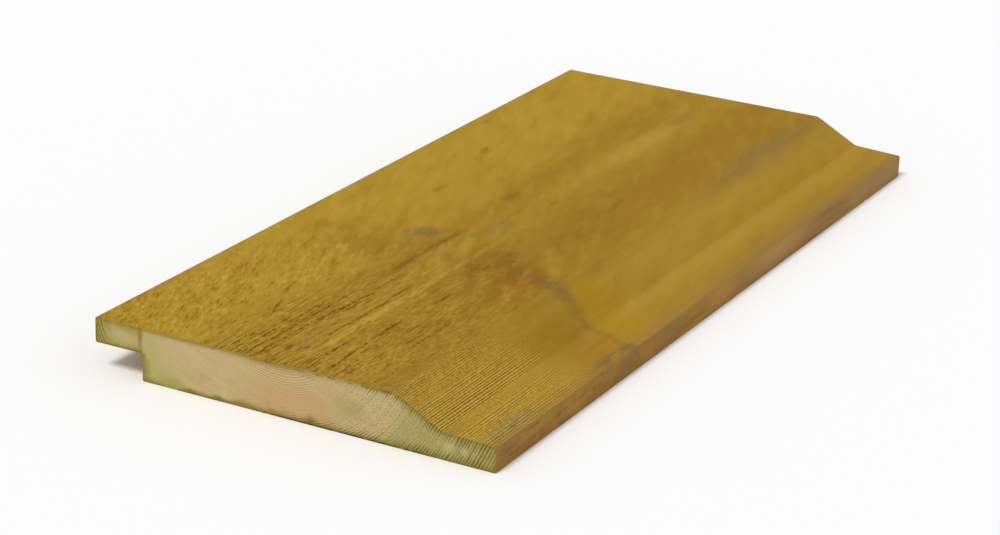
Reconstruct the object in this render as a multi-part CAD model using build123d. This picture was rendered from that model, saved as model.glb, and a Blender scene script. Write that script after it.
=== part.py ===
"""Double rebated cladding board: one moulded softwood board, lying on its back face.

X runs across the board, from the edge with the face lip (-X) to the edge with the back lip (+X).
Y runs along the grain. Z runs up from the back face, at Z = 0, to the sawn face.
The origin is at the middle of the board's length and width, on the plane of the back face.
On a wall the face lip of one board laps over the back lip of the next.
"""

import os
from math import radians, tan

from build123d import *

# Board, in millimetres
board_length = 325.0
board_width = 145.0
board_thickness = 18.0

# Face lip: what the rebate in the back leaves standing along the -X edge
back_rebate_width = 18.0
face_lip_thickness = 8.6

# Lap: the room that two boards leave each other where they overlap
lap_face_gap = 0.2
lap_side_gap = 0.6

# Back lip and bevel: what the rebate in the face leaves standing along the +X edge
back_lip_fall = 0.8
bevel_angle = 28.0

# Corners, as the moulding cutters leave them
shoulder_radius = 4.0
foot_radius = 3.0
arris_radius = 0.6
rebate_corner_radius = 0.5

# Heights and places that follow from the sizes above
face_lip_edge_x = -board_width / 2
back_lip_edge_x = board_width / 2
rebate_wall_x = face_lip_edge_x + back_rebate_width
lap_height = board_thickness - face_lip_thickness
back_lip_foot_height = lap_height - lap_face_gap
back_lip_edge_height = back_lip_foot_height - back_lip_fall
bevel_foot_x = back_lip_edge_x - back_rebate_width - lap_side_gap
bevel_rise = board_thickness - back_lip_foot_height
bevel_shoulder_x = bevel_foot_x - bevel_rise / tan(radians(bevel_angle))


def board_section():
    """The moulded section in the XZ plane, anticlockwise from the back face's +X corner."""
    corners = [
        ((back_lip_edge_x, 0), arris_radius),
        ((back_lip_edge_x, back_lip_edge_height), arris_radius),
        ((bevel_foot_x, back_lip_foot_height), foot_radius),
        ((bevel_shoulder_x, board_thickness), shoulder_radius),
        ((face_lip_edge_x, board_thickness), arris_radius),
        ((face_lip_edge_x, lap_height), arris_radius),
        ((rebate_wall_x, lap_height), rebate_corner_radius),
        ((rebate_wall_x, 0), arris_radius),
    ]
    points = [point for point, radius in corners]
    radii = [radius for point, radius in corners]
    outline = FilletPolyline(*points, radius=radii, close=True)
    return make_face(Plane.XZ * outline)


def cladding_board():
    """The section run along the grain, with both ends sawn square."""
    return extrude(board_section(), amount=board_length / 2, both=True)


board = cladding_board()
board.label = "cladding_board"

os.makedirs("parts", exist_ok=True)
export_step(board, "parts/cladding_board.step")

print("bevel from x", round(bevel_shoulder_x, 2), "to", round(bevel_foot_x, 2))
print("back lip", round(back_lip_foot_height, 2), "at the foot,", round(back_lip_edge_height, 2), "at the edge")
print("volume", round(board.volume), "mm3, size", board.bounding_box().size)
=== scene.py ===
# %% [markdown]
# # A double rebated cladding board
# This board clads an outside wall. Along one edge a rebate is cut in its back, along the other a bevel falls
# to a thin lip, and each board laps over the lip of the next one. It is softwood, pressure treated with a
# green preservative, with a rough sawn face and smooth moulded edges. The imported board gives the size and
# the place, and this lesson gives it its wood: growth rings, torn grain, a branch scar, stains and the pale
# core that shows on the sawn ends.

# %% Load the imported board
import math

import bmesh
import bpy
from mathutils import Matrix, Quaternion, Vector


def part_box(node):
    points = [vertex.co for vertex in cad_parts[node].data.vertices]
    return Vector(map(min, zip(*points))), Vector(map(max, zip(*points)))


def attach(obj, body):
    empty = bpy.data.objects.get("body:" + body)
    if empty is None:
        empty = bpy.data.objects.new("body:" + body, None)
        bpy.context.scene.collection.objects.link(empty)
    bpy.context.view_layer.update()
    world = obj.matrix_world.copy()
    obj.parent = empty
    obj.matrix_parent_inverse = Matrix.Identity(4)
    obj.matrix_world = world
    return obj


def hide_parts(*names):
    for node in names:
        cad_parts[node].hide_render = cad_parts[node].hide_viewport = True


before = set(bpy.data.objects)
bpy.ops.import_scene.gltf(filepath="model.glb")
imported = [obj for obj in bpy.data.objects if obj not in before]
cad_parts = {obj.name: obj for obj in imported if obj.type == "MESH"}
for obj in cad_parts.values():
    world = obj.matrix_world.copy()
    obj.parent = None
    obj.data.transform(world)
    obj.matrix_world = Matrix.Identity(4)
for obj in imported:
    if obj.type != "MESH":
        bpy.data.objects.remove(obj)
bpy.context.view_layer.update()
MM = 0.001
low, high = (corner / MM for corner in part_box("cladding_board"))
length = high.y - low.y
width = high.x - low.x
thickness = high.z
print("board", round(length, 1), "x", round(width, 1), "x", round(thickness, 1), "mm")

# %% [markdown]
# ## The camera
# A product photographer stands back with a long lens, so that the board's far end is hardly smaller than its
# near end. The place, the two angles, the slight tilt to one side and the lens below come from lining up the
# corners of the board with the photograph. The lens is worked out from its length in pixels.

# %% Set the camera
CAMERA_PLACE = Vector((433.1, -842.4, 358.1))
CAMERA_AZIMUTH = math.radians(28.01)
CAMERA_ELEVATION = math.radians(20.83)
CAMERA_ROLL = math.radians(2.06)
LENS_PIXELS = 2864.5
IMAGE_WIDTH_PIXELS = 1000
SENSOR_WIDTH = 36.0
CLIP_START = 0.01

bpy.ops.object.select_all(action="DESELECT")
bpy.ops.object.camera_add(location=CAMERA_PLACE * MM)
camera = bpy.context.object
camera.name = "photo_camera"
camera.data.sensor_width = SENSOR_WIDTH
camera.data.lens = SENSOR_WIDTH * LENS_PIXELS / IMAGE_WIDTH_PIXELS
camera.data.clip_start = CLIP_START
look = Vector((
    -math.sin(CAMERA_AZIMUTH) * math.cos(CAMERA_ELEVATION),
    math.cos(CAMERA_AZIMUTH) * math.cos(CAMERA_ELEVATION),
    -math.sin(CAMERA_ELEVATION),
))
camera.rotation_mode = "QUATERNION"
camera.rotation_quaternion = look.to_track_quat("-Z", "Y") @ Quaternion((0, 0, 1), CAMERA_ROLL)
bpy.context.scene.camera = camera
print("lens", round(camera.data.lens, 1), "mm")

# %% [markdown]
# ## The section, cut as the moulder cuts it
# The real board starts as a sawn plank and runs past cutters that take the rebates and the bevel away. Here
# a cube the size of the plank without its face lip is the start. The upper half of its left side is pulled
# out to become the face lip, two cuts mark where the bevel begins and ends, and the edges beyond the first
# cut are pushed down to make the bevel and the back lip.

# %% Sizes of the section, in mm
REBATE_WIDTH = 18.0
FACE_LIP_THICKNESS = 8.6
LAP_FACE_GAP = 0.2
LAP_SIDE_GAP = 0.6
BACK_LIP_FALL = 0.8
BEVEL_ANGLE = math.radians(28.0)
lap_height = thickness - FACE_LIP_THICKNESS
wall_x = low.x + REBATE_WIDTH
foot_x = high.x - REBATE_WIDTH - LAP_SIDE_GAP
foot_height = lap_height - LAP_FACE_GAP
lip_edge_height = foot_height - BACK_LIP_FALL
shoulder_x = foot_x - (thickness - foot_height) / math.tan(BEVEL_ANGLE)
print("bevel from", round(shoulder_x, 2), "to", round(foot_x, 2), "mm")

# %% Select by place
NEAR_ENOUGH = 0.01


def near(value, wanted):
    """True where two sizes in mm are the same."""
    return abs(value - wanted) < NEAR_ENOUGH


def pick(parts, test):
    """Selects in edit mode only the verts, edges or faces whose middle and span, in mm, pass the test."""
    form = bmesh.from_edit_mesh(board.data)
    bpy.ops.mesh.select_all(action="DESELECT")
    for part in getattr(form, parts):
        corners = [part.co / MM] * 2 if parts == "verts" else [vert.co / MM for vert in part.verts]
        span = Vector(map(max, *corners)) - Vector(map(min, *corners))
        part.select_set(test(sum(corners, Vector()) / len(corners), span))
    form.select_flush_mode()
    bmesh.update_edit_mesh(board.data)


# %% The plank and its two lips
bpy.ops.object.select_all(action="DESELECT")
plank_middle = Vector(((wall_x + high.x) / 2, 0, thickness / 2))
bpy.ops.mesh.primitive_cube_add(size=MM, location=plank_middle * MM)
board = bpy.context.object
board.name = "treated_cladding_board"
board.scale = (high.x - wall_x, length, thickness)
bpy.ops.object.transform_apply(location=True, rotation=True, scale=True)

bpy.ops.object.mode_set(mode="EDIT")
bpy.ops.mesh.select_mode(type="FACE")
pick("faces", lambda middle, span: near(middle.x, wall_x))
bpy.ops.mesh.bisect(plane_co=(0, 0, lap_height * MM), plane_no=(0, 0, 1))
pick("faces", lambda middle, span: near(middle.x, wall_x) and middle.z > lap_height)
bpy.ops.mesh.extrude_region_move(TRANSFORM_OT_translate={"value": (-REBATE_WIDTH * MM, 0, 0)})
for cut_x in (shoulder_x, foot_x):
    bpy.ops.mesh.select_all(action="SELECT")
    bpy.ops.mesh.bisect(plane_co=(cut_x * MM, 0, 0), plane_no=(1, 0, 0))
bpy.ops.mesh.select_mode(type="VERT")
for edge_x, edge_height in ((foot_x, foot_height), (high.x, lip_edge_height)):
    pick("verts", lambda middle, span: near(middle.x, edge_x) and near(middle.z, thickness))
    bpy.ops.transform.translate(value=(0, 0, (edge_height - thickness) * MM))
print("section cut:", len(bmesh.from_edit_mesh(board.data).faces), "faces")

# %% [markdown]
# ## Corners
# Cutters never leave a knife edge. The outer corners, which joiners call arrises, are eased by wear, and the
# bevel meets the face and the lip in soft curves. Bevel rounds each long edge, by how far its round reaches
# along the two faces beside it. The cuts that lie flat in a face are then dissolved, so that each face is
# one piece again.

# %% Round the long edges
SHOULDER_RADIUS = 4.0
FOOT_RADIUS = 3.0
REBATE_CORNER_RADIUS = 0.5
ARRIS_RADIUS = 0.6
FLAT_ANGLE = math.radians(0.5)
lip_angle = math.atan(BACK_LIP_FALL / (high.x - foot_x))
# Each corner: its X and its height, how far its round reaches, and in how many steps
corners = {
    "shoulder": (shoulder_x, thickness, SHOULDER_RADIUS * math.tan(BEVEL_ANGLE / 2), 5),
    "foot": (foot_x, foot_height, FOOT_RADIUS * math.tan((BEVEL_ANGLE - lip_angle) / 2), 4),
    "back lip top": (high.x, lip_edge_height, ARRIS_RADIUS, 3),
    "back lip bottom": (high.x, 0, ARRIS_RADIUS, 3),
    "rebate mouth": (wall_x, 0, ARRIS_RADIUS, 3),
    "rebate corner": (wall_x, lap_height, REBATE_CORNER_RADIUS, 3),
    "face lip bottom": (low.x, lap_height, ARRIS_RADIUS, 3),
    "face lip top": (low.x, thickness, ARRIS_RADIUS, 3),
}
bpy.ops.mesh.select_mode(type="EDGE")
for x, z, reach, steps in corners.values():
    pick("edges", lambda middle, span: near(middle.x, x) and near(middle.z, z) and near(span.y, length))
    bpy.ops.mesh.bevel(offset=reach * MM, offset_type="OFFSET", segments=steps, affect="EDGES")
bpy.ops.mesh.select_all(action="SELECT")
bpy.ops.mesh.dissolve_limited(angle_limit=FLAT_ANGLE)
print("corners rounded:", len(bmesh.from_edit_mesh(board.data).faces), "faces")

# %% [markdown]
# ## A net fine enough for the grain
# Torn fibres and raised rings are about a millimetre wide, so the faces that show them need a finer net than
# the back, which was planed. Subdividing only the short edges of a face cuts it into strips along the grain.
# The long edges are cut last, more closely near the end that stands in front.

# %% Cut the faces into strips
def split(rounds, test):
    """Cuts each edge that passes the test into parts; each further round cuts those parts again."""
    for parts in rounds:
        pick("edges", test)
        bpy.ops.mesh.subdivide(number_cuts=parts - 1, smoothness=0)


# Each face: the corners it runs between, and into how many strips each round cuts it
strips = [
    ("face lip top", "shoulder", (11, 16)),
    ("shoulder", "foot", (8, 8)),
    ("foot", "back lip top", (8, 8)),
    ("back lip top", "back lip bottom", (6,)),
    ("back lip bottom", "rebate mouth", (30,)),
    ("rebate mouth", "rebate corner", (5,)),
    ("rebate corner", "face lip bottom", (6,)),
    ("face lip bottom", "face lip top", (6,)),
]
for first, last, rounds in strips:
    start_x, start_z, start_reach = corners[first][:3]
    end_x, end_z, end_reach = corners[last][:3]
    start = Vector((start_x, start_z))
    along = Vector((end_x, end_z)) - start
    run = along.length
    along.normalize()

    def on_this_face(middle, span):
        """True for an edge across the grain on the flat part of this face."""
        offset = Vector((middle.x, middle.z)) - start
        inside = start_reach < offset.dot(along) < run - end_reach
        return near(span.y, 0) and inside and abs(along.cross(offset)) < NEAR_ENOUGH

    split(rounds, on_this_face)
    print(first, "to", last, "in strips of", round(run / math.prod(rounds), 2), "mm")

# %% Cut the strips into rows
NEAR_ROWS_END = -62.0
NEAR_ROWS = (7, 15)
FAR_ROWS = (10, 15)
bpy.ops.mesh.select_all(action="SELECT")
bpy.ops.mesh.bisect(plane_co=(0, NEAR_ROWS_END * MM, 0), plane_no=(0, 1, 0))
split(NEAR_ROWS, lambda middle, span: span.y > NEAR_ENOUGH and middle.y < NEAR_ROWS_END)
split(FAR_ROWS, lambda middle, span: span.y > NEAR_ENOUGH and middle.y > NEAR_ROWS_END)
bpy.ops.mesh.select_all(action="SELECT")
bpy.ops.mesh.normals_make_consistent(inside=False)
bpy.ops.object.mode_set(mode="OBJECT")
print("net of", len(board.data.vertices), "points and", len(board.data.polygons), "faces")

# %% [markdown]
# ## Nodes for shape and for colour
# The same wood makes the shape and the colour: a torn fibre is both darker and lower. So each pattern below
# is a function that adds its nodes to the tree in hand. The relief, made by Geometry Nodes, and the
# materials, made by shader nodes, call the same functions and always agree. All patterns work in
# millimetres on the board's own coordinates: X across, Y along the grain, Z up. A table names the kinds of
# node in plain words, and one function adds any of them. A range says where a value starts and ends, and
# may add what it becomes there instead of 0 and 1.

# %% The kinds of node
NUMBERS = {
    "plus": "ADD",
    "minus": "SUBTRACT",
    "times": "MULTIPLY",
    "over": "DIVIDE",
    "times plus": "MULTIPLY_ADD",
    "smaller": "MINIMUM",
    "larger": "MAXIMUM",
    "is below": "LESS_THAN",
    "size": "ABSOLUTE",
    "fraction": "FRACT",
    "whole": "FLOOR",
    "sine": "SINE",
}
VECTORS = {
    "vector minus": "SUBTRACT",
    "vector times": "MULTIPLY",
    "vector over": "DIVIDE",
    "vector times plus": "MULTIPLY_ADD",
    "direction": "NORMALIZE",
}
NOISE_INPUTS = ("Vector", "Scale", "Detail", "Roughness")
# Each kind: Blender's name for it, its settings, the inputs that its values go to, and its output
KINDS = {
    "shape": ("NodeGroupInput", {}, (), 0),
    "position": ("GeometryNodeInputPosition", {}, (), 0),
    "normal": ("GeometryNodeInputNormal", {}, (), 0),
    "move": ("GeometryNodeSetPosition", {}, ("Geometry", "Offset"), 0),
    "result": ("NodeGroupOutput", {}, (0,), None),
    "own place": ("ShaderNodeTexCoord", {}, (), "Object"),
    "parts": ("ShaderNodeSeparateXYZ", {}, (0,), 0),
    "vector": ("ShaderNodeCombineXYZ", {}, (0, 1, 2), 0),
    "turn": ("ShaderNodeVectorRotate", {"rotation_type": "Z_AXIS"}, ("Vector", "Angle"), 0),
    "length": ("ShaderNodeVectorMath", {"operation": "LENGTH"}, (0,), "Value"),
    "dot": ("ShaderNodeVectorMath", {"operation": "DOT_PRODUCT"}, (0, 1), "Value"),
    "stretch": ("ShaderNodeVectorMath", {"operation": "SCALE"}, (0, "Scale"), 0),
    "noise": ("ShaderNodeTexNoise", {}, NOISE_INPUTS, 0),
    "noise vector": ("ShaderNodeTexNoise", {}, NOISE_INPUTS, 1),
    "noise along": ("ShaderNodeTexNoise", {"noise_dimensions": "1D"}, ("W", "Scale", "Detail"), 0),
    "chance": ("ShaderNodeTexWhiteNoise", {"noise_dimensions": "1D"}, ("W",), 0),
    "line": ("ShaderNodeMapRange", {}, (0, 1, 2, 3, 4), 0),
    "step": ("ShaderNodeMapRange", {"interpolation_type": "SMOOTHSTEP"}, (0, 1, 2, 3, 4), 0),
    "blend": ("ShaderNodeMix", {}, (0, 2, 3), 0),
    "tint": ("ShaderNodeMix", {"data_type": "RGBA"}, (0, 6, 7), 2),
    "bump": ("ShaderNodeBump", {}, ("Height", "Distance"), 0),
}
for name, operation in NUMBERS.items():
    KINDS[name] = ("ShaderNodeMath", {"operation": operation}, (0, 1, 2), 0)
for name, operation in VECTORS.items():
    KINDS[name] = ("ShaderNodeVectorMath", {"operation": operation}, (0, 1, 2), 0)
print(len(KINDS), "kinds of node")

# %% One function adds any node
def add(kind, *values):
    """Adds a node to the tree in hand, sets or links its inputs in turn, and returns its output."""
    blender_name, settings, sockets, output = KINDS[kind]
    node = tree.nodes.new(blender_name)
    for name, setting in settings.items():
        setattr(node, name, setting)
    for socket, value in zip(sockets, values):
        if isinstance(value, bpy.types.NodeSocket):
            tree.links.new(value, node.inputs[socket])
        else:
            node.inputs[socket].default_value = value
    return None if output is None else node.outputs[output]


# %% Patterns that the others are made of
# How a noise looks: how many finer layers it has, and how strong each of them is
PLAIN = (0.5,)
SMOOTH = (1.0,)
SOFT = (1.5,)
TORN = (2.0, 0.6)
CRISP = (2.5, 0.6)
CLOUDY = (3.0,)
WORN = (3.0, 0.6)
FRAYED = (3.0, 0.65)
NOISE_MEAN = 0.5


def chain(kind, *values):
    """Joins several values two by two, such as heights that are added."""
    result = values[0]
    for value in values[1:]:
        result = add(kind, result, value)
    return result


def overlap(*parts):
    """Multiplies masks. A part is a mask, a number, or a pair: a value and the range that makes it a mask."""
    masks = [add("step", part[0], *part[1]) if isinstance(part, tuple) else part for part in parts]
    return chain("times", *masks)


def blotches(place, size, detail=2.0, roughness=0.5):
    """Cloudy blotches between 0 and 1, of this size in mm along X, Y and Z."""
    return add("noise", add("vector over", place, size), 1.0, detail, roughness)


def sway(value, noise, amount):
    """Moves a value to and fro with a noise, by this amount between the noise's 0 and 1."""
    return add("times plus", add("minus", noise, NOISE_MEAN), amount, value)


def belt(value, start, end, soft):
    """A mask that is 1 between start and end, with borders this soft."""
    return overlap((value, (start - soft, start + soft)), (value, (end + soft, end - soft)))


# %% [markdown]
# ## Growth rings
# A tree adds a ring each year. This plank was cut beside the pith, which ran about 20 mm above the sawn face
# and rose slowly away from it, so the rings are circles round that line, a little under a millimetre wide.
# One formula in space puts arcs on the ends, fine lines on the bevel and flames on the back, all joined up.
# A slow sway keeps the lines from being ruled, a noise along the radius makes some years wider than others,
# and each year gets a darkness of its own.

# %% Rings in space
PITH = (-3.5, 0.0, 39.5)
PITH_RISE = 0.0035
SWAY_SIZE = (45.0, 170.0, 45.0)
SWAY = 1.0
INNER_RINGS_END = 62.0
INNER_RING = 0.82
OUTER_RINGS_END = 130.0
OUTER_RING = 0.97
GOOD_YEARS_EVERY = 5.0
LATE_BEGINS = (0.3, 0.75)
LATE_ENDS = (1.0, 0.85)
YEAR_DARKNESS = (0.0, 1.0, 0.55, 1.0)


def ring_radius(place):
    """The distance from the pith, in mm."""
    cloud = add("noise vector", add("vector over", place, SWAY_SIZE), 1.0, 1.0)
    aside = add("vector minus", cloud, (NOISE_MEAN, NOISE_MEAN, NOISE_MEAN))
    swayed = add("vector times plus", aside, (SWAY, SWAY, SWAY), place)
    x, y, z = add("parts", add("vector minus", swayed, PITH)).node.outputs
    below_pith = add("times plus", y, -PITH_RISE, z)
    return add("length", add("vector", x, 0.0, below_pith))


def ring_count(radius):
    """How many rings lie within this distance from the pith."""
    count = add("noise along", add("over", radius, GOOD_YEARS_EVERY), 1.0, 1.0)
    belts = ((0.0, INNER_RINGS_END, INNER_RING), (INNER_RINGS_END, OUTER_RINGS_END, OUTER_RING))
    for start, end, ring in belts:
        within = add("line", radius, start, end, 0.0, (end - start) / ring)
        count = add("plus", count, within)
    return count


def late_wood(count):
    """The dense dark end of each ring: it rises slowly, stops sharply, and differs from year to year."""
    share = add("fraction", count)
    year = add("line", add("chance", add("whole", count)), *YEAR_DARKNESS)
    return overlap((share, LATE_BEGINS), (share, LATE_ENDS), year)


print("rings of", INNER_RING, "to", OUTER_RING, "mm")

# %% [markdown]
# ## The sawn face
# A band saw tears softwood rather than cutting it. It leaves a fuzz of short fibres, a millimetre or three
# long, which leans to one side on the left of the board and follows the grain on the right. It is crisp at
# the near end and broad and soft further back, where the saw had settled. Near the pith the saw pulled out
# splinters and left dark, broken grooves. The longest are listed, each as a straight line from its
# far end to its near end, which noise then bends and beads, and thin blotches add the small ones.

# %% Fuzz
FUZZ_LEAN = math.radians(20.0)
LEANING_FUZZ_SIZE = (1.15, 4.6, 1.15)
STRAIGHT_FUZZ_SIZE = (1.1, 4.6, 1.1)
BROAD_FUZZ_SIZE = (4.0, 15.0, 4.0)
STRAIGHT_BEYOND = (-45.0, -15.0)
BROAD_BEYOND = (-130.0, -15.0)
CRISPEST_ALONG = (-105.0, -50.0, 26.0)
CRISPEST_ACROSS = (-50.0, -25.0, 0.15, 0.65)
ROUGH_BEFORE = (20.0, -150.0, 0.22, 1.0)


def nearness(y):
    """1 at the near end, where the saw ran roughest, and less at the far end."""
    return add("step", y, *ROUGH_BEFORE)


def sawn_fuzz(place):
    """Tufts and pits of the sawn face, between 0 and 1."""
    x, y = add("parts", place).node.outputs[:2]
    turned = add("turn", place, -FUZZ_LEAN)
    leaning = blotches(turned, LEANING_FUZZ_SIZE, *CRISP)
    straight = blotches(place, STRAIGHT_FUZZ_SIZE, *CRISP)
    crisp = add("blend", add("step", x, *STRAIGHT_BEYOND), leaning, straight)
    broad = blotches(turned, BROAD_FUZZ_SIZE, *SOFT)
    fuzz = add("blend", add("step", y, *BROAD_BEYOND), crisp, broad)
    crispest = overlap(belt(y, *CRISPEST_ALONG), (x, CRISPEST_ACROSS))
    return sway(fuzz, fuzz, crispest)


# %% Small splits
SPLIT_SIZE = (0.8, 8.0, 0.8)
TEAR_PATCH_SIZE = (6.0, 45.0, 6.0)
PATCH_SHARE = 0.25
SPLIT_ACROSS = (-36.0, 31.0, 8.0)
SPLIT_BEFORE = (-65.0, -130.0)
CLEANER_BEYOND = (-6.0, 8.0, 0.85, 0.65)


def splits(place):
    """Thin blotches along the grain, and where they may tear: rough near the pith and the near end."""
    x, y = add("parts", place).node.outputs[:2]
    busy = blotches(place, TEAR_PATCH_SIZE, *SMOOTH)
    thin = add("times plus", busy, PATCH_SHARE, blotches(place, SPLIT_SIZE, *TORN))
    return thin, overlap(belt(x, *SPLIT_ACROSS), (x, CLEANER_BEYOND), (y, SPLIT_BEFORE))


# %% Torn grain
BEAD_SIZE = (1.1, 2.2, 1.1)
BEADING = 2.6
BEND_SIZE = (5.0, 22.0, 5.0)
BEND = 2.5
SOFT_END = 2.0
MORE_SPLITS_BEFORE = (-125.0, -160.0)
MORE_SPLITS = 0.05
OPEN_SPLIT = (0.72, 0.85)
# Each groove: its far end and its near end, half its width in mm, and how deeply it is torn
grooves = [
    ((-14.8, -32.0), (-15.0, -74.0), 1.7, 0.3),
    ((-10.6, -77.0), (-11.6, -96.0), 0.7, 0.6),
    ((-10.0, -96.0), (-12.8, -126.0), 0.8, 0.9),
    ((-13.0, -124.0), (-13.4, -163.0), 0.5, 0.8),
    ((-16.2, -100.0), (-16.8, -163.0), 0.5, 0.8),
    ((-19.3, -112.0), (-19.6, -163.0), 0.4, 0.8),
    ((-21.3, -130.0), (-21.7, -163.0), 0.4, 0.8),
    ((-37.5, -101.0), (-34.0, -113.0), 1.0, 0.6),
    ((-31.2, -118.0), (-27.6, -131.0), 0.8, 0.7),
    ((-28.0, -146.0), (-28.2, -163.0), 0.3, 0.7),
    ((-32.5, -150.0), (-32.6, -163.0), 0.3, 0.6),
    ((-2.3, -84.0), (-2.8, -137.0), 0.8, 0.7),
    ((5.0, -136.0), (5.3, -163.0), 0.4, 0.8),
    ((10.0, -112.0), (10.3, -131.0), 0.6, 0.9),
    ((10.3, -133.0), (11.2, -163.0), 0.5, 0.9),
    ((16.0, -147.0), (16.0, -163.0), 0.3, 0.7),
    ((23.8, -104.0), (23.4, -130.0), 0.4, 0.6),
    ((12.0, -83.0), (12.0, -95.0), 0.6, 0.6),
]


def torn_grain(place):
    """Grooves where the saw pulled splinters out: the placed ones, beaded and broken, and small splits."""
    x, y = add("parts", place).node.outputs[:2]
    thin, zone = splits(place)
    beads = add("minus", NOISE_MEAN, blotches(place, BEAD_SIZE, *TORN))
    bent = sway(x, blotches(place, BEND_SIZE, *SMOOTH), BEND)
    nearest = add("times plus", add("step", y, *MORE_SPLITS_BEFORE), MORE_SPLITS, thin)
    torn = overlap((nearest, OPEN_SPLIT), zone)
    for (far_x, far_y), (near_x, near_y), half_width, share in grooves:
        lean = (far_x - near_x) / (far_y - near_y)
        upright = add("times plus", y, -lean, bent)
        aside = add("size", add("minus", upright, near_x - lean * near_y))
        line = add("step", add("times plus", beads, BEADING, aside), half_width, 0.0)
        groove = overlap(line, belt(y, near_y, far_y, SOFT_END), share)
        torn = add("larger", torn, groove)
    return torn


print(len(grooves), "grooves placed by hand")

# %% [markdown]
# ## The relief
# A Geometry Nodes modifier presses the patterns into the net. It only ever presses inwards, so the board
# stays inside its real size: a quarter of a millimetre of fuzz and a third for a torn groove on the sawn
# face, and less than a tenth between the rings on the bevel and the lip, where the cutters compress the soft
# wood. The normal loses its part along the grain, so that the sawn ends stay flat. Then the modifier is
# applied.

# %% Depth of the relief
FUZZ_DEPTH = 0.25
TEAR_DEPTH = 0.3
RING_DEPTH = 0.07
ROUGH_PATCH_SIZE = (12.0, 26.0, 12.0)
ROUGH_PATCHES = (0.3, 0.7, 0.4, 1.0)
FACING_UP = (0.6, 0.85)
SAWN_FADE = 3.0
MOULDED_FADE = 1.0
IN_MM = (1 / MM, 1 / MM, 1 / MM)

tree = bpy.data.node_groups.new("sawn_and_moulded_relief", "GeometryNodeTree")
tree.interface.new_socket("Geometry", in_out="INPUT", socket_type="NodeSocketGeometry")
tree.interface.new_socket("Geometry", in_out="OUTPUT", socket_type="NodeSocketGeometry")
place = add("vector times", add("position"), IN_MM)
outward = add("direction", add("vector times", add("normal"), (1.0, 0.0, 1.0)))
x, y = add("parts", place).node.outputs[:2]
on_top = add("step", add("dot", outward, (0.0, 0.0, 1.0)), *FACING_UP)
sawn = overlap(on_top, (x, (shoulder_x, shoulder_x - SAWN_FADE)))
moulded = overlap(on_top, (x, (shoulder_x - MOULDED_FADE, shoulder_x + MOULDED_FADE)))
near_end = nearness(y)
count = ring_count(ring_radius(place))
pits = add("minus", 1.0, sawn_fuzz(place))
rough = add("step", blotches(place, ROUGH_PATCH_SIZE), *ROUGH_PATCHES)
depth = chain(
    "plus",
    overlap(pits, rough, near_end, sawn, FUZZ_DEPTH * MM),
    overlap(torn_grain(place), sawn, TEAR_DEPTH * MM),
    overlap(late_wood(count), near_end, moulded, RING_DEPTH * MM),
)
inward = add("stretch", outward, add("times", depth, -1.0))
add("result", add("move", add("shape"), inward))
print("relief of", len(tree.nodes), "nodes")

# %% Press the relief into the board
SHARP_ANGLE = math.radians(40.0)
bpy.ops.object.select_all(action="DESELECT")
board.select_set(True)
bpy.context.view_layer.objects.active = board
modifier = board.modifiers.new("relief", "NODES")
modifier.node_group = tree
bpy.ops.object.modifier_apply(modifier=modifier.name)
bpy.ops.object.shade_smooth_by_angle(angle=SHARP_ANGLE)
heights = [vert.co.z / MM for vert in board.data.vertices]
print("relief applied, heights from", round(min(heights), 3), "to", round(max(heights), 3), "mm")

# %% [markdown]
# ## Colours
# The preservative turns the wood from cream to a greenish gold, which browns in the light. Colours are
# written as sRGB hex values, as a picture editor shows them, and one function turns them into the linear
# values that shaders work with. A finish is then a base colour with tints laid over it, each where its mask
# says so.

# %% Hex colours to linear
# From a noise's mean to where it seldom goes: masks of its low and its high spots, strong or faint
LOWS = (0.5, 0.3)
HIGHS = (0.5, 0.7)
FAINT_LOWS = (0.5, 0.25)
FAINT_HIGHS = (0.5, 0.75)


def linear(hex_colour):
    """An sRGB hex colour as linear red, green, blue and alpha."""
    shades = [int(hex_colour[start:start + 2], 16) / 255 for start in (1, 3, 5)]
    lit = [shade / 12.92 if shade <= 0.04045 else ((shade + 0.055) / 1.055) ** 2.4 for shade in shades]
    return [*lit, 1.0]


def glaze(colour, *layers):
    """Lays tints over a colour in turn: each layer is its masks, its strength and its hex colour."""
    for *masks, strength, tint in layers:
        colour = add("tint", overlap(*masks, strength), colour, linear(tint))
    return colour


def new_wood(name):
    """An empty material on the board: its tree and its shader."""
    material = bpy.data.materials.new(name)
    material.use_nodes = True
    board.data.materials.append(material)
    return material.node_tree, material.node_tree.nodes["Principled BSDF"]
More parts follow.
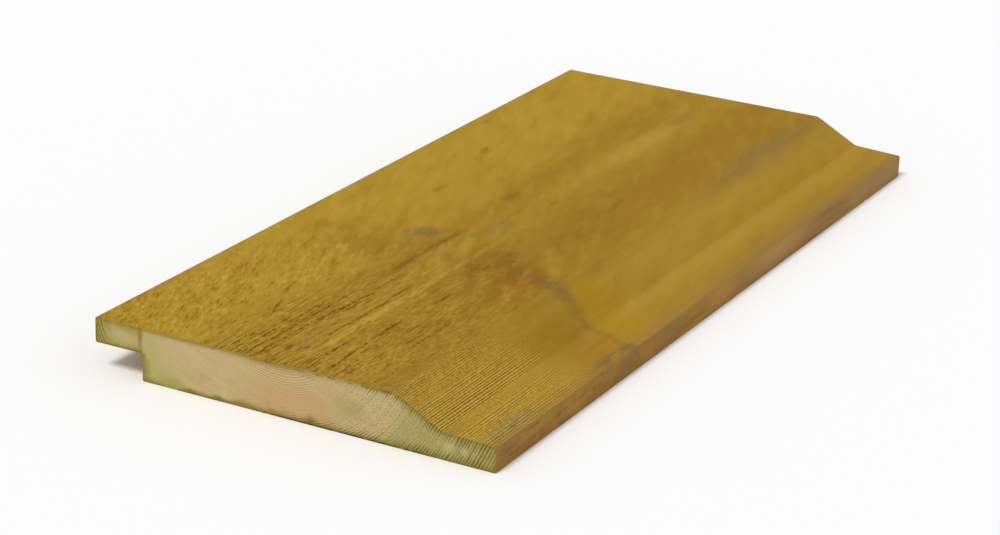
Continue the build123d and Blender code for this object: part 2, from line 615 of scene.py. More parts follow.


# %% [markdown]
# ## The treated wood along the grain
# Both long grain materials share this colour, so that the face and the bevel join up. Gold on the left turns
# to brown towards the pith and right of it. Patches are placed where the real board has them: a pale
# flame along the pith, bands along the bevel and the lip, and grey stains where it lay wet. A patch is a
# round mask with a border made ragged by noise, and long stains are two or three patches in a row. A branch
# grew out from the pith and left a frayed scar, steep across the bevel and flatter across the lip, with
# golden and orange wood beside it.

# %% Patches seen from above
# Each patch: its middle and its reach along X and Y in mm, its colour and its strength
patches = {
    "brown cloud on the left": ((-36.0, -57.0), (34.0, 20.0), "#8C661A", 0.45),
    "edge of that cloud": ((-49.0, -47.0), (10.0, 18.0), "#926C1C", 0.4),
    "orange along the left edge": ((-73.0, -138.0), (8.0, 45.0), "#A67A26", 0.45),
    "brown band on the far half": ((-20.0, 105.0), (11.0, 105.0), "#97721E", 0.6),
    "brown right of the flame": ((17.0, 60.0), (22.0, 150.0), "#966E1E", 0.5),
    "brown left of the flame": ((-17.0, 22.0), (9.0, 80.0), "#926E1C", 0.4),
    "brown beside the flame": ((-17.0, -85.0), (9.0, 85.0), "#926B1A", 0.5),
    "flame along the pith": ((-5.4, 88.0), (7.4, 62.0), "#B6963A", 0.55),
    "foot of the flame": ((-6.5, 42.0), (10.0, 36.0), "#AE8C2C", 0.3),
    "pale line along the pith": ((0.9, -95.0), (2.6, 110.0), "#BA983E", 0.8),
    "soft crack": ((-14.8, -52.0), (3.2, 36.0), "#7E5A0C", 0.65),
    "lighter wood at the near right": ((14.0, -152.0), (26.0, 30.0), "#B48C34", 0.45),
    "light line at the foot": ((57.0, 40.0), (4.5, 200.0), "#AE8E34", 0.3),
    "brown band along the lip": ((65.5, 70.0), (4.5, 150.0), "#987128", 0.5),
    "grey margin of the lip": ((71.5, 70.0), (5.4, 150.0), "#947240", 0.7),
    "olive wood on the bevel": ((44.0, 22.0), (12.0, 85.0), "#AA9036", 0.4),
    "grey along the shoulder": ((36.4, 112.0), (8.5, 74.0), "#867040", 0.55),
    "brown cloud before the branch": ((7.0, -48.0), (17.0, 26.0), "#865E1C", 0.45),
    "brown cloud below the branch": ((12.0, -74.0), (27.0, 28.0), "#8C641A", 0.45),
    "start of the smear": ((10.0, -47.5), (13.0, 9.0), "#7E561C", 0.4),
    "middle of the smear": ((19.0, -53.0), (13.0, 9.0), "#7E541A", 0.5),
    "end of the smear": ((28.0, -57.5), (12.0, 8.5), "#7A5420", 0.55),
    "orange wood below the smear": ((22.0, -62.0), (14.0, 7.0), "#90600E", 0.65),
    "knot at the shoulder": ((38.5, -59.0), (8.5, 7.5), "#7A5E3A", 0.45),
    "golden wood on the bevel": ((48.0, -50.0), (14.0, 17.0), "#A87E06", 0.78),
    "golden wood on the lip": ((60.0, -56.5), (15.0, 14.0), "#AA8206", 0.72),
    "orange wood on the lip": ((58.0, -82.0), (19.0, 28.0), "#966A0A", 0.65),
    "brown wood on the bevel": ((47.0, -82.0), (13.0, 36.0), "#966E10", 0.55),
    "orange at the lip's edge": ((70.5, -53.0), (5.0, 13.0), "#B8821C", 0.6),
    "dark streaks before the branch": ((70.5, -86.0), (5.0, 20.0), "#78623C", 0.4),
    "end of the branch": ((71.0, -70.5), (5.0, 5.0), "#62502A", 0.55),
    "left of the wet stain": ((-29.0, -39.2), (4.6, 8.0), "#7C683A", 0.55),
    "middle of the wet stain": ((-25.0, -36.5), (4.6, 8.0), "#7A683C", 0.5),
    "right of the wet stain": ((-21.8, -34.4), (4.6, 8.0), "#74623A", 0.55),
    "second stain": ((-9.7, -31.2), (4.6, 5.4), "#846E38", 0.45),
    "third stain": ((-5.4, -18.6), (7.0, 13.0), "#867038", 0.45),
    "tip of the flame": ((-6.0, 127.0), (4.8, 20.0), "#8A7238", 0.5),
    "dark side of the flame": ((-11.5, 108.0), (3.0, 30.0), "#8C7230", 0.45),
    "stain at the near end": ((-6.1, -147.0), (2.6, 12.0), "#8E7640", 0.5),
    "spot at the shoulder": ((35.2, -157.5), (2.2, 2.6), "#847650", 0.7),
    "grey at the lip's corner": ((69.0, -147.0), (6.5, 22.0), "#82764E", 0.72),
    "back of the first fleck": ((-51.3, 53.1), (2.6, 4.4), "#7E621A", 0.45),
    "front of the first fleck": ((-49.6, 50.0), (2.6, 4.4), "#7E621A", 0.45),
    "second fleck": ((-67.0, 82.5), (3.0, 5.0), "#A27420", 0.5),
    "third fleck": ((-43.1, 4.8), (2.6, 7.4), "#88661C", 0.5),
    "fourth fleck": ((-17.4, 11.6), (3.5, 8.0), "#84601A", 0.5),
}
RAGGEDNESS = 0.9
PATCH_BORDER = (1.4, 0.6)
EVERYWHERE = 1e5


def patch_mask(place, ragged, middle, reach):
    """A ragged round mask: 1 in the middle, 0 at the reach in mm along X, Y and Z."""
    offset = add("vector minus", place, middle)
    distance = add("length", add("vector over", offset, reach))
    return add("step", add("times plus", ragged, RAGGEDNESS, distance), *PATCH_BORDER)


print(len(patches), "patches placed by hand")

# %% The branch scar
# Each run of the scar, as a line seen from above: how Y changes for each mm of X, and Y where X is 0
SCAR_RUNS = ((-0.56, -36.5), (-0.255, -52.3))
SCAR_FRAY_SIZE = (2.6, 4.0, 2.6)
SCAR_FRAY = 9.0
SCAR_WOBBLE = 5.0
SCAR_GAP_SIZE = (4.0, 4.0, 4.0)
SCAR_GAPS = (0.35, 0.6, 0.45, 1.0)
SCAR_NARROWS = (44.0, 56.0, 7.4, 3.6)
SCAR_BORDER = (1.0, 0.1)
SCAR_BEYOND = (24.0, 40.0)
SCAR_ABOVE = (2.0, 6.0)


def branch_scar(place, ragged):
    """A band across the bevel, the lip and the edge, where a branch grew through."""
    x, y, z = add("parts", place).node.outputs
    course = add("larger", *(add("times plus", x, *run) for run in SCAR_RUNS))
    wobble = sway(y, ragged, SCAR_WOBBLE)
    torn = sway(wobble, blotches(place, SCAR_FRAY_SIZE, *FRAYED), SCAR_FRAY)
    gaps = blotches(place, SCAR_GAP_SIZE)
    aside = add("size", add("minus", torn, course))
    share = add("over", aside, add("step", x, *SCAR_NARROWS))
    return overlap((share, SCAR_BORDER), (x, SCAR_BEYOND), (z, SCAR_ABOVE), (gaps, SCAR_GAPS))


# %% Colour along the grain
GOLD = "#AD8B28"
BROWN = "#9E7720"
CLOUD_SIZE = (14.0, 110.0, 14.0)
CLOUD_DRIFT = 26.0
TOWARDS_PITH = (-48.0, -8.0, 0.0, 0.6)
BEYOND_PITH = (0.0, 16.0, 0.0, 0.45)
BROWN_ON_BEVEL = (0.0, 7.0, 1.0, 0.35)
MOTTLE_SIZE = (6.0, 32.0, 6.0)
WEAR_SIZE = (5.0, 8.0, 5.0)
LESS_WEAR_BEYOND = (-40.0, 50.0, 1.0, 0.3)
UPPER_FACES = (3.0, 7.0)


def treated_colour(place):
    """The colour of the treated wood, before its surface is torn or planed."""
    x, y, z = add("parts", place).node.outputs
    drift = sway(x, blotches(place, CLOUD_SIZE, *CLOUDY), CLOUD_DRIFT)
    heart = add("plus", add("step", drift, *TOWARDS_PITH), add("step", drift, *BEYOND_PITH))
    moulded_side = add("step", add("minus", x, shoulder_x), *BROWN_ON_BEVEL)
    mottle = blotches(add("turn", place, -FUZZ_LEAN), MOTTLE_SIZE)
    ragged = sway(NOISE_MEAN, blotches(place, WEAR_SIZE, *WORN), add("step", y, *LESS_WEAR_BEYOND))
    upper = add("step", z, *UPPER_FACES)
    colour = glaze(
        linear(GOLD),
        (heart, moulded_side, 1.0, BROWN),
        ((mottle, FAINT_LOWS), 0.25, "#8E6A18"),
        ((mottle, FAINT_HIGHS), 0.2, "#BC9A3C"),
    )
    for middle, reach, tint, strength in patches.values():
        mask = patch_mask(place, ragged, (*middle, 0.0), (*reach, EVERYWHERE))
        colour = glaze(colour, (mask, upper, strength, tint))
    return glaze(colour, (branch_scar(place, ragged), 0.4, "#765A30"))


# %% [markdown]
# ## Sawn face
# Rough sawn, pressure treated softwood is a dull surface. Its tufts catch the light, its pits and torn
# grooves stay dark, and the fibres that the saw bent over lie along the grain. The tufts are painted paler
# and the pits darker, partly in their own colour and partly as painted highlight and painted shade. Right of
# the pith the saw cut more cleanly. There it left crumbs and shallow dents, and beside the shoulder, at the
# near end, the rings show as fine, broken lines. Dark flecks lie between the pith and the branch, and pale
# fibres stand up among the splits.

# %% Masks of the sawn face
# A fibre is about a thirtieth of a millimetre wide, too fine to show, so fibres are drawn in bundles
FIBRE_SIZE = (0.6, 4.0, 0.6)
UNEVEN_PATCHES = (0.3, 0.7, 0.55, 1.0)
FIBROUS_BEFORE = (-60.0, -140.0)
FEWER_TUFTS_BEYOND = (-30.0, 8.0, 1.0, 0.6)
tree, shader = new_wood("rough_sawn_treated_softwood")
place = add("vector times", add("own place"), IN_MM)
x, y = add("parts", place).node.outputs[:2]
fuzz = sawn_fuzz(place)
tears = torn_grain(place)
fibres = blotches(place, FIBRE_SIZE)
rough = add("step", blotches(place, ROUGH_PATCH_SIZE), *UNEVEN_PATCHES)
uneven = overlap(nearness(y), rough)
fibrous = overlap(uneven, (y, FIBROUS_BEFORE))
tufted = overlap(uneven, (x, FEWER_TUFTS_BEYOND))

# %% Marks right of the pith
RINGS_BEYOND = (18.0, 38.0)
RING_GAP_SIZE = (1.6, 6.0, 1.6)
RING_GAPS = (0.35, 0.62, 0.1, 1.0)
EARLY_WOOD = (0.25, 0.0)
CRUMB_SIZE = (0.9, 1.8, 0.9)
CRUMBS_BEYOND = (-4.0, 8.0)
DENT_SIZE = (5.0, 13.0, 5.0)
DENTS = (0.52, 0.7)
DENTED_ACROSS = (-14.0, 32.0, 8.0)
DENTED_ALONG = (-25.0, 50.0, 35.0)
FLECK_SIZE = (1.9, 4.6, 1.9)
FLECKS = (0.53, 0.7)
FLECKED_MIDDLE = (8.0, -52.0, 0.0)
FLECKED_REACH = (24.0, 34.0, EVERYWHERE)
RAISED_FIBRES = (0.56, 0.4)
late = late_wood(ring_count(ring_radius(place)))
ringed = overlap((x, RINGS_BEYOND), fibrous, (blotches(place, RING_GAP_SIZE), RING_GAPS))
crumbs = blotches(place, CRUMB_SIZE, *TORN)
crumbly = overlap((x, CRUMBS_BEYOND), fibrous)
dents = blotches(place, DENT_SIZE, *WORN)
dented = overlap(belt(x, *DENTED_ACROSS), belt(y, *DENTED_ALONG))
flecks = blotches(place, FLECK_SIZE)
flecked = patch_mask(place, rough, FLECKED_MIDDLE, FLECKED_REACH)
small_splits, split_zone = splits(place)

# %% Colours of the sawn face
# Pits and tufts: partly their own colour, partly painted shade in the pits and painted highlight on the tufts
PITS_WITH_PAINTED_SHADE = (0.5, 0.28)
TUFTS_WITH_PAINTED_HIGHLIGHT = (0.5, 0.72)
DARK_CRUMBS = (0.52, 0.75)
PALE_CRUMBS = (0.48, 0.25)
colour = glaze(
    treated_colour(place),
    # Painted shade in the pits and painted highlight on the tufts, over their own darker and paler colour
    ((fuzz, PITS_WITH_PAINTED_SHADE), uneven, 0.78, "#825C0A"),
    ((fuzz, TUFTS_WITH_PAINTED_HIGHLIGHT), tufted, 0.75, "#CCA644"),
    ((fibres, HIGHS), fibrous, 0.25, "#805810"),
    ((late, EARLY_WOOD), ringed, 0.35, "#C49E42"),
    (late, ringed, 0.7, "#744A08"),
    ((crumbs, DARK_CRUMBS), crumbly, 0.6, "#7A520A"),
    ((crumbs, PALE_CRUMBS), crumbly, 0.45, "#C8A244"),
    ((dents, DENTS), dented, 0.32, "#7E5A16"),
    ((flecks, FLECKS), flecked, 0.7, "#724A0E"),
    ((small_splits, RAISED_FIBRES), split_zone, 0.45, "#C29C42"),
    (tears, 0.95, "#643E04"),
)

# %% Surface of the sawn face
# Loose fibres scatter the light, so this face hardly shines: its sheen is far below the usual 0.5
FIBRE_SHARE = 0.25
TUFT_HEIGHT = 0.5
GROOVE_DEPTH = 0.15
SAWN_ROUGHNESS = (0.0, 1.0, 1.0, 0.8)
SAWN_SHEEN = 0.12


def set_surface(shader, colour, height, roughness, sheen):
    """Gives the shader its colour, a height in mm as a bump, its roughness and its sheen."""
    tree.links.new(colour, shader.inputs["Base Color"])
    tree.links.new(add("bump", height, MM), shader.inputs["Normal"])
    tree.links.new(roughness, shader.inputs["Roughness"])
    shader.inputs["Specular IOR Level"].default_value = sheen
    print("material of", len(tree.nodes), "nodes")


tufts = overlap(add("times plus", fibres, FIBRE_SHARE, fuzz), uneven, TUFT_HEIGHT)
tufts_and_grooves = add("times plus", tears, -GROOVE_DEPTH, tufts)
sawn_roughness = add("line", fuzz, *SAWN_ROUGHNESS)
set_surface(shader, colour, tufts_and_grooves, sawn_roughness, SAWN_SHEEN)

# %% [markdown]
# ## Moulded faces
# The bevel, the lip, the edges and the back were run past sharp cutters. They are smoother, and near the end
# the rings show as fine, beaded lines along the grain: pale early wood and dark late wood, bolder in some
# years than in others. Further back long streaks take their place, and in front of the branch the lip's
# margin is mottled. The cutters leave a faint ripple across the grain. The narrow edge is redder low down
# and has patches of its own round the branch.

# %% Ring lines on the moulded faces
# Beads and grit are a few fibres wide on real wood, and are drawn as coarse as they need to be to show
LINE_BEAD_SIZE = (0.9, 1.4, 0.9)
LINE_BEADS = (0.3, 0.6, 0.3, 1.0)
GRIT_SIZE = (0.7, 1.2, 0.7)
BOLDNESS = (0.0, 1.0, 0.55, 1.3)
LINES_BEFORE = (-80.0, -135.0, 0.06, 1.0)
LINES_FROM_SHOULDER = (-1.0, 7.0, 0.5, 1.0)
PLAIN_STRIP = (41.0, 44.5, 1.2)
PLAIN_STRIP_LINES = (0.0, 1.0, 1.0, 0.5)
FOOT_STRIP = (0.5, 6.0, 1.5)
FOOT_STRIP_LINES = (0.0, 1.0, 1.0, 0.35)
LINES_FROM_FOOT = (4.0, 8.0, 1.0, 0.75)
tree, shader = new_wood("moulded_treated_softwood")
place = add("vector times", add("own place"), IN_MM)
x, y, z = add("parts", place).node.outputs
from_shoulder = add("minus", x, shoulder_x)
from_foot = add("minus", x, foot_x)
count = ring_count(ring_radius(place))
late = late_wood(count)
bold_year = add("line", add("chance", add("whole", count)), *BOLDNESS)
near_end = add("step", y, *LINES_BEFORE)
clear = overlap(
    near_end,
    (from_shoulder, LINES_FROM_SHOULDER),
    add("line", belt(x, *PLAIN_STRIP), *PLAIN_STRIP_LINES),
    add("line", belt(from_foot, *FOOT_STRIP), *FOOT_STRIP_LINES),
    (from_foot, LINES_FROM_FOOT),
    bold_year,
)
lines = overlap(late, clear, (blotches(place, LINE_BEAD_SIZE, *SMOOTH), LINE_BEADS))
grit = blotches(place, GRIT_SIZE, *SMOOTH)

# %% Streaks, margin and narrow edge
BAND_SIZE = (9.0, 300.0, 9.0)
STREAK_LEAN = math.radians(20.0)
NEAR_STREAK_SIZE = (1.2, 7.0, 1.2)
FAR_STREAK_SIZE = (2.0, 30.0, 2.0)
FAR_STREAKS_BEYOND = (-75.0, -35.0)
STREAKS_FROM_SHOULDER = (-4.0, -8.0, 0.4, 1.0)
MARGIN_FROM_FOOT = 12.0
MARGIN_ABOVE = (2.0, 7.0)
MOTTLE_ON_LIP_SIZE = (2.6, 10.0, 2.0)
MOTTLED_ACROSS = (62.0, 71.0)
MOTTLED_BEFORE = (-60.0, -76.0)
EDGE_FROM_SIDE = (-0.4, -0.05)
LOW_ON_EDGE = (7.0, 1.5)
FAR_ON_EDGE = (-40.0, 70.0)
bands = blotches(place, BAND_SIZE, *PLAIN)
near_streaks = blotches(add("turn", place, STREAK_LEAN), NEAR_STREAK_SIZE, *FRAYED)
far_streaks = blotches(place, FAR_STREAK_SIZE)
streaks = add("blend", add("step", y, *FAR_STREAKS_BEYOND), near_streaks, far_streaks)
streaked = add("step", from_shoulder, *STREAKS_FROM_SHOULDER)
margin = overlap((x, (foot_x + MARGIN_FROM_FOOT, high.x)), (z, MARGIN_ABOVE))
mottle = blotches(place, MOTTLE_ON_LIP_SIZE, *FRAYED)
mottled = overlap((x, MOTTLED_ACROSS), (y, MOTTLED_BEFORE))
edge = add("step", add("minus", x, high.x), *EDGE_FROM_SIDE)

# %% Colours of the moulded faces
MARGIN_STREAKS = (0.25, 0.6)
colour = glaze(
    treated_colour(place),
    ((bands, LOWS), 0.12, "#8C691C"),
    ((bands, HIGHS), 0.12, "#B2923A"),
    ((far_streaks, LOWS), streaked, 0.2, "#8A6718"),
    ((far_streaks, HIGHS), streaked, 0.2, "#BC9C40"),
    ((late, EARLY_WOOD), clear, 0.72, "#D0AE4A"),
    (lines, 0.85, "#684404"),
    ((grit, FAINT_LOWS), near_end, 0.45, "#7A5408"),
    ((grit, FAINT_HIGHS), near_end, 0.4, "#CFAE50"),
    ((streaks, MARGIN_STREAKS), margin, 0.6, "#8E6A3C"),
    (edge, 0.7, "#A27C38"),
    (edge, (z, LOW_ON_EDGE), 0.75, "#9E6E32"),
    (edge, (y, FAR_ON_EDGE), 0.65, "#9C7848"),
    (edge, (streaks, LOWS), 0.3, "#80562A"),
    (edge, (streaks, HIGHS), 0.35, "#BE9440"),
)

# %% Patches on the edge and the lip
MOTTLE_HIGHS = (0.52, 0.7)
REACH_FROM_SIDE = 1.0
# Each patch: its middle and its reach along Y and Z in mm, its colour and its strength
edge_patches = {
    "grey corner": ((-155.0, 6.5), (12.0, 3.5), "#947044", 0.6),
    "yellow streaks": ((-137.0, 6.0), (18.0, 3.0), "#B48A34", 0.5),
    "red brown at the near end": ((-138.0, 1.5), (28.0, 3.5), "#A06A34", 0.5),
    "golden wood before the branch": ((-110.0, 4.5), (14.0, 7.0), "#B2863C", 0.55),
    "dark wood at the branch": ((-74.0, 3.5), (14.0, 5.5), "#8C6A3C", 0.6),
    "orange wood behind it": ((-60.5, 3.5), (6.5, 4.0), "#B07A30", 0.6),
    "dull wood further back": ((-45.0, 6.0), (20.0, 6.0), "#967444", 0.7),
    "orange wood at the middle": ((-2.0, 5.0), (18.0, 7.0), "#BA8C46", 0.65),
    "pale wood behind it": ((46.0, 6.0), (44.0, 7.0), "#B8925A", 0.6),
    "pale wood on the far half": ((122.0, 5.0), (18.0, 7.0), "#B28E56", 0.55),
    "grey wood at the far end": ((150.0, 5.0), (30.0, 8.0), "#AC8C5C", 0.6),
}
for middle, reach, tint, strength in edge_patches.values():
    mask = patch_mask(place, streaks, (high.x, *middle), (REACH_FROM_SIDE, *reach))
    colour = glaze(colour, (mask, edge, strength, tint))
colour = glaze(
    colour,
    (mottled, (mottle, LOWS), 0.5, "#70562A"),
    (mottled, (mottle, MOTTLE_HIGHS), 0.45, "#B07E26"),
)
print(len(edge_patches), "patches on the edge")

# %% Surface of the moulded faces
# Cut fibres lie flat, so these faces shine a little more than the sawn one
KNIFE_PITCH = 1.5
KNIFE_RIPPLE = 0.004
LINE_DEPTH = 0.08
MOULDED_ROUGHNESS = (0.0, 1.0, 0.85, 0.7)
MOULDED_SHEEN = 0.15
ripple = add("sine", add("times", y, 2 * math.pi / KNIFE_PITCH))
ridges = add("times plus", ripple, KNIFE_RIPPLE, add("times", lines, -LINE_DEPTH))
moulded_roughness = add("line", lines, *MOULDED_ROUGHNESS)
set_surface(shader, colour, ridges, moulded_roughness, MOULDED_SHEEN)

# %% [markdown]
# ## End grain
# The ends were sawn after treatment, so they show how far the preservative went in. The heart, round the
# pith, let none in and keeps its natural salmon colour. The outer wood, beyond the same ring on both sides,
# is green right through. All round the section a thin ragged rim is dark olive, and on the right it runs
# deeper along the rings, like the teeth of a comb. Along the face the saw left a frayed golden fringe.
# Along the bottom edge a thin, almost black line is painted shadow, where the board meets the floor.

# %% Depth below the surface
def below_surface(x, z):
    """How deep a place on the end lies under the nearest long face, in mm."""
    from_foot = add("minus", x, foot_x)
    bevel = add("times plus", from_foot, -math.tan(BEVEL_ANGLE), foot_height)
    lip = add("times plus", from_foot, -math.tan(lip_angle), foot_height)
    top = add("smaller", add("larger", bevel, lip), thickness)
    bottom = add("times", add("is below", x, wall_x), lap_height)
    beside_rebate = add("is below", z, lap_height)
    left = add("times plus", beside_rebate, REBATE_WIDTH, low.x)
    return chain(
        "smaller",
        add("minus", top, z),
        add("minus", z, bottom),
        add("minus", x, left),
        add("minus", high.x, x),
    )


# %% Heart, sapwood and lips on the end
# Wood cells are about 0.03 mm wide, too fine to show, so they are drawn as specks of half a millimetre
SPECK_SIZE = (0.5, 0.5, 0.5)
RAGGED_SIZE = (2.4, 2.4, 2.4)
END_CLOUD_SIZE = (9.0, 9.0, 9.0)
RING_WOBBLE = 0.5
BOLD_YEARS = (0.2, 0.7, 0.2, 1.0)
HEART_RADIUS = 51.5
HEART_BORDER = 3.5
HEART_WOBBLE = 14.0
RIGHT_SIDE = (8.0, 30.0)
BACK_LIP_END = (57.0, 64.0)
FACE_LIP_EDGE = (6.0, 3.0)
WALL_BORDER = 1.0
tree, shader = new_wood("sawn_end_grain")
place = add("vector times", add("own place"), IN_MM)
x, y, z = add("parts", place).node.outputs
radius = ring_radius(place)
ragged = blotches(place, RAGGED_SIZE, *FRAYED)
cloud = blotches(place, END_CLOUD_SIZE, *CLOUDY)
specks = blotches(place, SPECK_SIZE)
count = sway(ring_count(radius), ragged, RING_WOBBLE)
late = late_wood(count)
bold_year = add("step", add("chance", add("whole", count)), *BOLD_YEARS)
uneven_radius = sway(radius, cloud, HEART_WOBBLE)
sap = add("step", uneven_radius, HEART_RADIUS - HEART_BORDER, HEART_RADIUS + HEART_BORDER)
right = add("step", x, *RIGHT_SIDE)
lip_end = add("step", x, *BACK_LIP_END)
left_end = add("step", add("minus", x, low.x), *FACE_LIP_EDGE)
bold = overlap(add("larger", lip_end, left_end), bold_year)
face_lip = add("step", x, wall_x + WALL_BORDER, wall_x - WALL_BORDER)

# %% Rays and the arcs under the pith
RAY_SIZE = (14.0, 1.0, 1.6)
RAY_ALONG = (0.94, 0.0, -0.34)
RAY_ACROSS = (0.34, 0.0, 0.94)
ARCS_ACROSS = (-16.0, 10.0, 5.0)
ARCS_WITHIN = (34.0, 27.0)
diagonal = add("vector", add("dot", place, RAY_ALONG), 0.0, add("dot", place, RAY_ACROSS))
rays = blotches(diagonal, RAY_SIZE)
arcs = overlap(belt(x, *ARCS_ACROSS), (radius, ARCS_WITHIN))

# %% The treated rim and its comb
TEETH = (0.3, 0.6, 0.35, 1.0)
TEETH_BEYOND = (-24.0, -8.0)
TOOTH_LENGTH = 4.0
NO_TEETH_ACROSS = (10.0, 27.0, 3.0)
NO_TEETH_ABOVE = (8.0, 12.0)
FOOT_COMB_ACROSS = (36.0, 74.0, 4.0)
FOOT_COMB_BELOW = (3.4, 1.2)
RIM_DEPTH = (0.25, 0.75, 0.2, 1.9)
RIM_BORDER = (1.2, 0.1)
RIM_ON_RIGHT = (26.0, 40.0, 1.0, 0.6)
FRINGE_ABOVE = (15.5, 17.0)
FRINGE_UNTIL = (30.0, 22.0)
FRINGE_RIM = (0.0, 1.0, 1.0, 0.3)
depth = below_surface(x, z)
toothed = overlap(late, (ragged, TEETH))
clean_top = overlap(belt(x, *NO_TEETH_ACROSS), (z, NO_TEETH_ABOVE))
comb = overlap(toothed, (x, TEETH_BEYOND), add("minus", 1.0, clean_top))
foot_comb = overlap(toothed, belt(x, *FOOT_COMB_ACROSS), (z, FOOT_COMB_BELOW))
rim_reach = add("times plus", comb, TOOTH_LENGTH, add("line", ragged, *RIM_DEPTH))
fringe = overlap((z, FRINGE_ABOVE), (x, FRINGE_UNTIL))
rim = overlap(
    (add("over", depth, rim_reach), RIM_BORDER),
    add("line", fringe, *FRINGE_RIM),
    (x, RIM_ON_RIGHT),
)

# %% Colours of the end grain
WARM_HEART = (-14.0, 16.0, 10.0)
STAIN_RAGGEDNESS = 3.0
STAINED_WITHIN = (4.0, 1.2)
SHADED_WITHIN = (4.5, 0.5)
SHADED_ACROSS = (38.0, 54.0, 4.0)
COMB_WITHIN = (3.8, 1.1)
LIP_BLOTCHES = (0.6, 0.4)
LINE_SPECKS = (0.3, 0.6, 0.4, 1.0)
FOOT_RAGGEDNESS = 1.6
FOOT_BELOW = (3.0, 0.6)
stain = add("step", add("times plus", ragged, STAIN_RAGGEDNESS, depth), *STAINED_WITHIN)
shaded = overlap((depth, SHADED_WITHIN), belt(x, *SHADED_ACROSS))
foot = add("step", add("times plus", ragged, FOOT_RAGGEDNESS, z), *FOOT_BELOW)
colour = glaze(
    linear("#BDA676"),
    ((cloud, HIGHS), 0.35, "#C4AA82"),
    ((cloud, LOWS), 0.3, "#B39C66"),
    (belt(x, *WARM_HEART), 0.5, "#B69260"),
    ((rays, HIGHS), 0.22, "#CDB68C"),
    ((rays, LOWS), 0.2, "#AA9160"),
    (sap, 0.9, "#AFA468"),
    (sap, right, 0.6, "#9E9256"),
    (arcs, late, 0.75, "#D0BC8E"),
    (arcs, (late, EARLY_WOOD), 0.4, "#9C8250"),
    (face_lip, 0.8, "#978B40"),
    (stain, 0.55, "#90823A"),
    ((specks, FAINT_LOWS), right, 0.8, "#766C36"),
    ((specks, FAINT_HIGHS), right, 0.7, "#C9BB84"),
    (late, right, bold_year, 0.3, "#7C6E34"),
    (lip_end, (ragged, LIP_BLOTCHES), 0.6, "#7E6C2A"),
    (shaded, 0.4, "#8A7E3A"),
    (comb, right, bold_year, (depth, COMB_WITHIN), 0.9, "#524818"),
    (foot_comb, 0.65, "#524818"),
    (lip_end, (late, EARLY_WOOD), 0.35, "#B2A25E"),
    (late, bold, (specks, LINE_SPECKS), 0.9, "#524516"),
    (foot, 0.55, "#82723A"),
    (rim, 0.75, "#6C5E1E"),
)

# %% Patches on the end
# Each patch: its middle and its reach along X and Z in mm, its colour and its strength
end_patches = {
    "green foot of the rebate": ((-44.0, 1.5), (9.0, 4.0), "#A29650", 0.75),
    "olive wood beside the wall": ((-54.6, 4.6), (4.6, 8.0), "#8C8038", 0.8),
    "pale patch on the face lip": ((-61.5, 13.4), (10.5, 4.4), "#BAA876", 0.8),
    "brown line beside it": ((-55.4, 15.2), (1.3, 6.0), "#8A7028", 0.75),
    "golden edge of the face": ((-8.0, 17.6), (17.0, 2.4), "#96742A", 0.7),
    "golden edge on the left": ((-38.0, 18.0), (26.0, 1.8), "#8E7428", 0.6),
    "warm corner of the rebate": ((-53.0, 0.8), (2.5, 1.6), "#94763A", 0.6),
    "grey smudge": ((-31.5, 6.5), (2.2, 2.0), "#A8966A", 0.5),
    "salmon heart": ((0.0, 7.0), (22.0, 7.0), "#BE9A66", 0.5),
    "orange spot": ((-6.5, 1.3), (2.0, 1.5), "#A87424", 0.8),
    "first dark patch": ((-36.5, 0.6), (4.0, 1.5), "#786828", 0.75),
    "second dark patch": ((-26.0, 0.6), (3.5, 1.8), "#786828", 0.75),
    "third dark patch": ((-17.5, 0.8), (6.0, 2.8), "#867430", 0.75),
    "fourth dark patch": ((8.0, 1.0), (4.0, 3.2), "#74642A", 0.8),
    "mottled green wood": ((22.0, 9.0), (8.0, 6.0), "#9A9058", 0.55),
    "pale patch under the foot": ((55.8, 4.8), (4.0, 3.2), "#BCAF78", 0.5),
    "pale spot on the lip": ((61.8, 4.4), (2.2, 2.2), "#C0B27C", 0.55),
}
for (middle_x, middle_z), (reach_x, reach_z), tint, strength in end_patches.values():
    mask = patch_mask(place, ragged, (middle_x, 0.0, middle_z), (reach_x, EVERYWHERE, reach_z))
    colour = glaze(colour, (mask, strength, tint))
print(len(end_patches), "patches on the end")

# %% The frayed fringe and a painted contact shadow along the lower edge
FRAY_SIZE = (0.9, 0.9, 0.7)
FRAY = 2.2
FRAYED_ABOVE = (14.5, 16.0)
FRAYED_BEYOND = (-45.0, -12.0, 0.4, 1.0)
FRAY_LINE = (1.5, 2.2, 0.4)
FRAY_GAPS = (0.4, 0.6)
FRAY_GOLD = (1.7, 1.2)
CONTACT_SHADOW_BELOW = (0.7, 0.2)
CONTACT_SHADOW_ACROSS = (-12.0, 50.0, 4.0)
CONTACT_SHADOW_GAPS = (0.4, 0.55)
fray = add("times plus", blotches(place, FRAY_SIZE, *FRAYED), FRAY, depth)
frayed = overlap((z, FRAYED_ABOVE), (x, FRAYED_BEYOND))
# under: a thin, almost black line along the bottom of the end, painted shadow where the board meets the floor
under = overlap((z, CONTACT_SHADOW_BELOW), belt(x, *CONTACT_SHADOW_ACROSS))
colour = glaze(
    colour,
    (frayed, belt(fray, *FRAY_LINE), (ragged, FRAY_GAPS), 0.6, "#5C5020"),
    (frayed, (fray, FRAY_GOLD), 0.75, "#98801E"),
    # Painted contact shadow along the bottom edge of the end
    (under, (ragged, CONTACT_SHADOW_GAPS), 0.85, "#241E0C"),
)

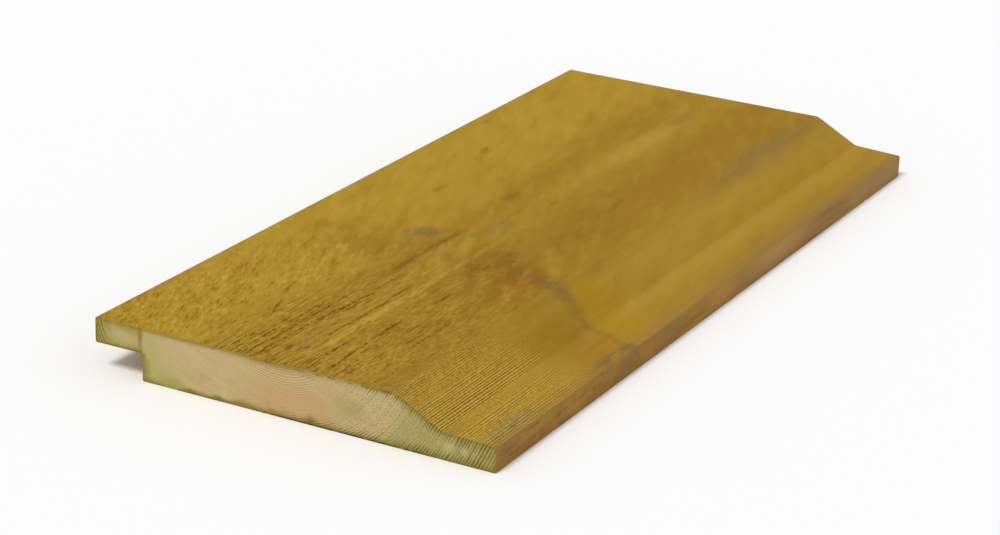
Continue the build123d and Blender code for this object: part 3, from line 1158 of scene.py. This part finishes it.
# %% Surface of the end grain
# The open ends of the cells swallow the light, so the ends are as dull as the sawn face
SPECK_SHARE = 0.5
SAW_MARK_HEIGHT = 0.05
END_ROUGHNESS = (0.0, 1.0, 0.95, 0.75)
END_SHEEN = 0.12
saw_marks = add("times", add("times plus", specks, SPECK_SHARE, late), SAW_MARK_HEIGHT)
end_roughness = add("line", specks, *END_ROUGHNESS)
set_surface(shader, colour, saw_marks, end_roughness, END_SHEEN)

# %% [markdown]
# ## Which face has which finish
# The band saw left the wide face rough, the moulder's cutters made the other long faces, and a cross cut
# made the two ends. So the direction in which a face of the net looks, and its place, tell which finish it
# has. The finished board then takes the place of the plain packed one.

# %% Give each face its material
SAWN, MOULDED, END_GRAIN = range(3)
UPWARD = 0.7
ENDWARD = 0.9
sawn_end = shoulder_x - SHOULDER_RADIUS * math.tan(BEVEL_ANGLE / 2)
for face in board.data.polygons:
    middle = face.center / MM
    on_sawn_face = face.normal.z > UPWARD and middle.x < sawn_end and middle.z > lap_height
    face.material_index = SAWN if on_sawn_face else MOULDED
    if abs(face.normal.y) > ENDWARD:
        face.material_index = END_GRAIN
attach(board, "root")
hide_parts("cladding_board")
triangles = sum(len(face.vertices) - 2 for face in board.data.polygons)
print("board of", triangles, "triangles")

# %% [markdown]
# ## Floor and light
# The board lies on a white floor, large enough to fill the picture, so the floor's own colour is the
# background. An even sky and one large soft lamp light it. Together they give a level surface a strength of
# 1, so that colours come out as they were written.

# %% Floor
FLOOR_SIZE = 12.0
bpy.ops.object.select_all(action="DESELECT")
bpy.ops.mesh.primitive_plane_add(size=FLOOR_SIZE)
floor = bpy.context.object
floor.name = "pale_floor"
matt_white = bpy.data.materials.new("matt_white_floor")
matt_white.use_nodes = True
matt = matt_white.node_tree.nodes["Principled BSDF"]
matt.inputs["Base Color"].default_value = linear("#FCFCFC")
matt.inputs["Roughness"].default_value = 1.0
matt.inputs["Specular IOR Level"].default_value = 0.0
floor.data.materials.append(matt_white)
print("floor", FLOOR_SIZE, "m wide")

# %% Light
SKY_SHARE = 0.5
LAMP_SHARE = 0.5
LAMP_FROM = Vector((-0.08, -0.5, 0.8)).normalized()
LAMP_ANGLE = math.radians(20.0)
world = bpy.data.worlds.new("even_sky")
world.use_nodes = True
bpy.context.scene.world = world
sky = world.node_tree.nodes["Background"]
sky.inputs["Color"].default_value = linear("#FFFFFF")
sky.inputs["Strength"].default_value = SKY_SHARE
bpy.ops.object.light_add(type="SUN")
lamp = bpy.context.object
lamp.name = "soft_lamp"
lamp.data.angle = LAMP_ANGLE
lamp.data.energy = math.pi * LAMP_SHARE / LAMP_FROM.z
lamp.rotation_mode = "QUATERNION"
lamp.rotation_quaternion = LAMP_FROM.to_track_quat("Z", "Y")
bpy.context.scene.view_settings.view_transform = "Standard"
print("lamp of strength", round(lamp.data.energy, 2))
